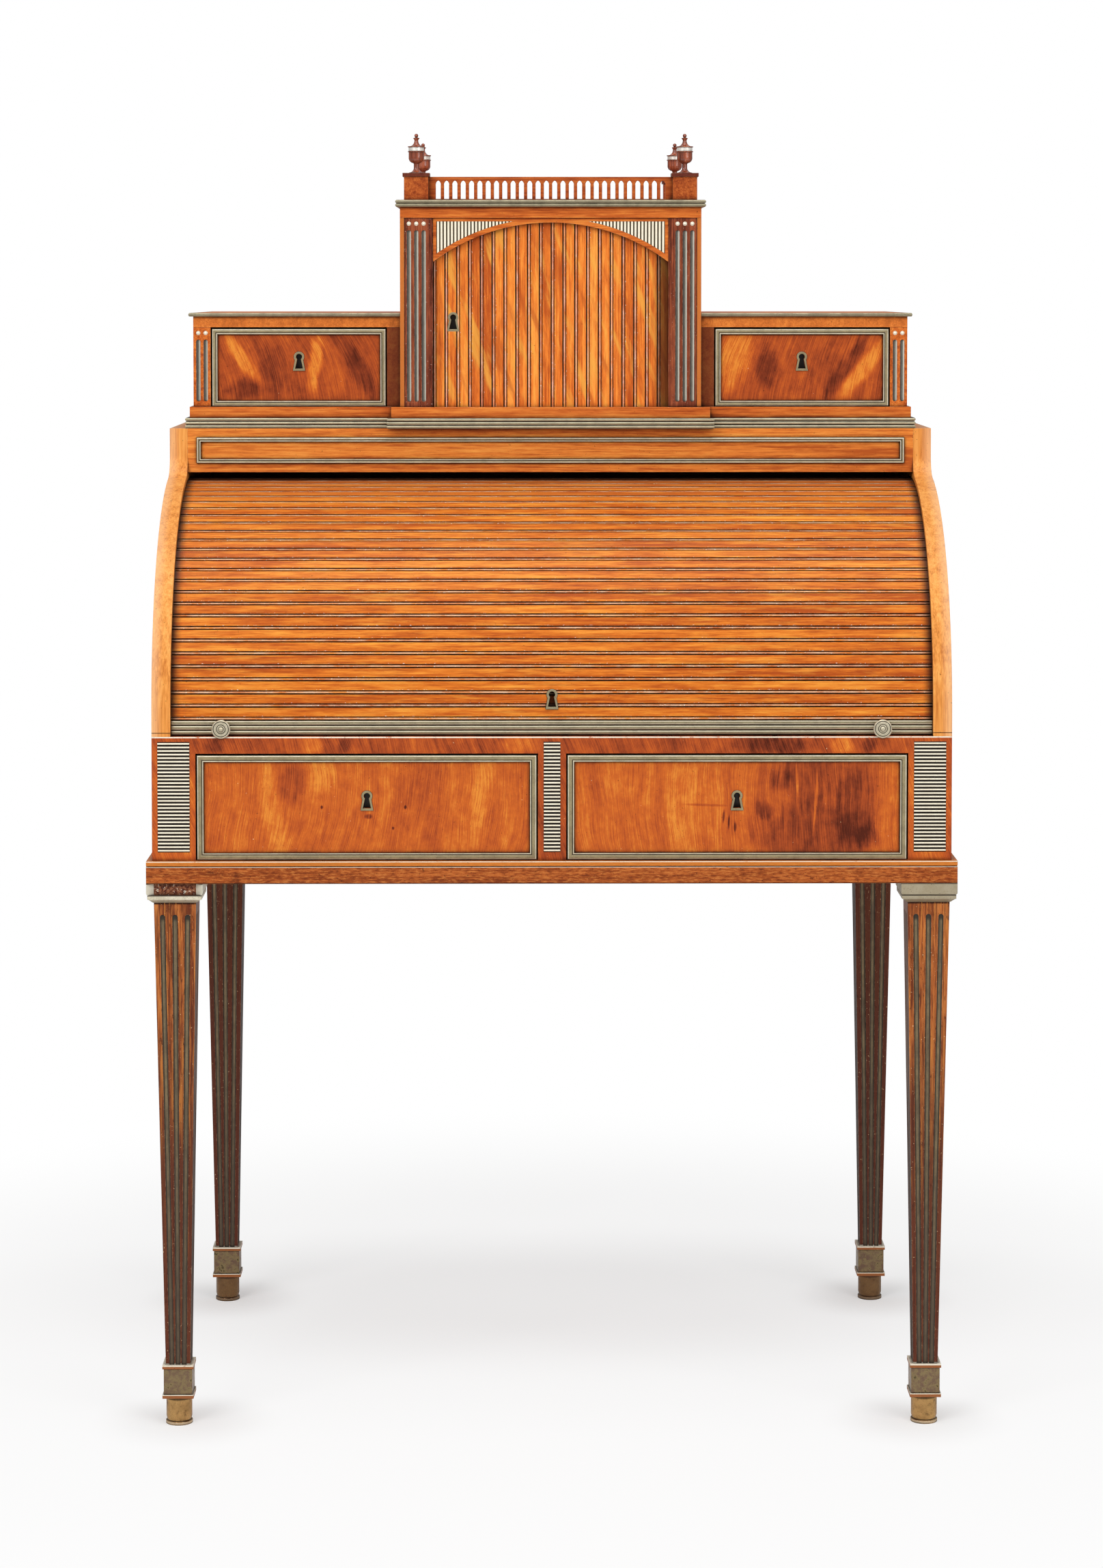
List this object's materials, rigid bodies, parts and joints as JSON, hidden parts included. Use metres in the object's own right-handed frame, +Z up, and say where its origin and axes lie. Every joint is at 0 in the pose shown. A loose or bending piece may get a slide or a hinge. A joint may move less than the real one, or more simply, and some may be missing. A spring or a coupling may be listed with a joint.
{
  "type": "cylinder desk",
  "caption": "Cylinder desk on tapered fluted legs: a roll-back tambour over a writing board, brass-framed drawers, and a cabinet with shutter and pierced gallery above.",
  "frame": {"origin": "on the floor under the middle of the desk", "axes": "+Z up, -Y towards the front where the writer sits, +X to the right seen from the front"},
  "size_m": [0.864, 0.55, 1.3947],
  "materials": {
    "mahogany": "french polished",
    "flame_veneer": "french polished flame veneer",
    "drawer_wood": "waxed",
    "brass": "aged",
    "pale_brass": "aged, polished on the ribs",
    "dark_brass": "aged dark",
    "canvas": "glued canvas"
  },
  "bodies": {
    "carcass": {"apron_frame": "mahogany", "arch_board": "mahogany", "back_panel": "drawer_wood", "base_sides": "mahogany", "brass_cornices": "brass", "cheek_left": "mahogany", "cheek_right": "mahogany", "drawer_guides": "drawer_wood", "face_frame": "mahogany", "finial_bands": "pale_brass", "finials": "mahogany", "frieze_board": "mahogany", "frieze_trim": "brass", "gallery": "mahogany", "leg_capitals": "brass", "leg_flutes": "brass", "leg_front_left": "mahogany", "leg_front_right": "mahogany", "leg_rear_left": "mahogany", "leg_rear_right": "mahogany", "nest_case": "drawer_wood", "pilaster_flutes": "brass", "pilasters": "mahogany", "plinth_board": "mahogany", "plinth_moulding": "brass", "ribbed_panels": "pale_brass", "sabots": "dark_brass", "top_board": "mahogany", "upper_back": "drawer_wood", "upper_sides": "mahogany", "upper_tops": "mahogany", "writing_board": "mahogany"},
    "base_drawer_left": {"base_drawer_left_front": "flame_veneer", "base_drawer_left_box": "drawer_wood", "base_drawer_left_brass": "brass"},
    "base_drawer_left_lock": {"base_drawer_left_bolt": "brass"},
    "base_drawer_right": {"base_drawer_right_front": "flame_veneer", "base_drawer_right_box": "drawer_wood", "base_drawer_right_brass": "brass"},
    "base_drawer_right_lock": {"base_drawer_right_bolt": "brass"},
    "wing_drawer_left": {"wing_drawer_left_front": "flame_veneer", "wing_drawer_left_box": "drawer_wood", "wing_drawer_left_brass": "brass"},
    "wing_drawer_left_lock": {"wing_drawer_left_bolt": "brass"},
    "wing_drawer_right": {"wing_drawer_right_front": "flame_veneer", "wing_drawer_right_box": "drawer_wood", "wing_drawer_right_brass": "brass"},
    "wing_drawer_right_lock": {"wing_drawer_right_bolt": "brass"},
    "tambour": {"tambour_slats": "mahogany", "tambour_canvas": "canvas", "tambour_rail": "mahogany", "tambour_brass": "brass", "tambour_knobs": "brass"},
    "tambour_lock": {"tambour_bolt": "brass"},
    "shutter": {"shutter_slats": "mahogany", "shutter_canvas": "canvas", "shutter_brass": "brass"},
    "shutter_lock": {"shutter_bolt": "brass"},
    "nest_drawer_left": {"nest_drawer_left": "drawer_wood"},
    "nest_drawer_right": {"nest_drawer_right": "drawer_wood"}
  },
  "joints": [
    {"name": "base_drawer_left_slide", "type": "slide", "parent": "carcass", "child": "base_drawer_left", "axis": [0, -1, 0], "range_m": [0, 0.33]},
    {"name": "base_drawer_left_bolt_throw", "type": "slide", "parent": "base_drawer_left", "child": "base_drawer_left_lock", "axis": [0, 0, 1], "range_m": [0, 0.008]},
    {"name": "base_drawer_right_slide", "type": "slide", "parent": "carcass", "child": "base_drawer_right", "axis": [0, -1, 0], "range_m": [0, 0.33]},
    {"name": "base_drawer_right_bolt_throw", "type": "slide", "parent": "base_drawer_right", "child": "base_drawer_right_lock", "axis": [0, 0, 1], "range_m": [0, 0.008]},
    {"name": "wing_drawer_left_slide", "type": "slide", "parent": "carcass", "child": "wing_drawer_left", "axis": [0, -1, 0], "range_m": [0, 0.19]},
    {"name": "wing_drawer_left_bolt_throw", "type": "slide", "parent": "wing_drawer_left", "child": "wing_drawer_left_lock", "axis": [0, 0, 1], "range_m": [0, 0.008]},
    {"name": "wing_drawer_right_slide", "type": "slide", "parent": "carcass", "child": "wing_drawer_right", "axis": [0, -1, 0], "range_m": [0, 0.19]},
    {"name": "wing_drawer_right_bolt_throw", "type": "slide", "parent": "wing_drawer_right", "child": "wing_drawer_right_lock", "axis": [0, 0, 1], "range_m": [0, 0.008]},
    {"name": "cylinder_roll", "type": "hinge", "parent": "carcass", "child": "tambour", "pos_m": [0, -0.016, 0.7636], "axis": [-1, 0, 0], "range_deg": [0, 80]},
    {"name": "cylinder_bolt_throw", "type": "slide", "parent": "tambour", "child": "tambour_lock", "axis": [0, 0, -1], "range_m": [0, 0.008]},
    {"name": "shutter_slide", "type": "slide", "parent": "carcass", "child": "shutter", "axis": [1, 0, 0], "range_m": [0, 0.021]},
    {"name": "shutter_bolt_throw", "type": "slide", "parent": "shutter", "child": "shutter_lock", "axis": [-1, 0, 0], "range_m": [0, 0.008]},
    {"name": "nest_drawer_left_slide", "type": "slide", "parent": "carcass", "child": "nest_drawer_left", "axis": [0, -1, 0], "range_m": [0, 0.13]},
    {"name": "nest_drawer_right_slide", "type": "slide", "parent": "carcass", "child": "nest_drawer_right", "axis": [0, -1, 0], "range_m": [0, 0.13]}
  ]
}
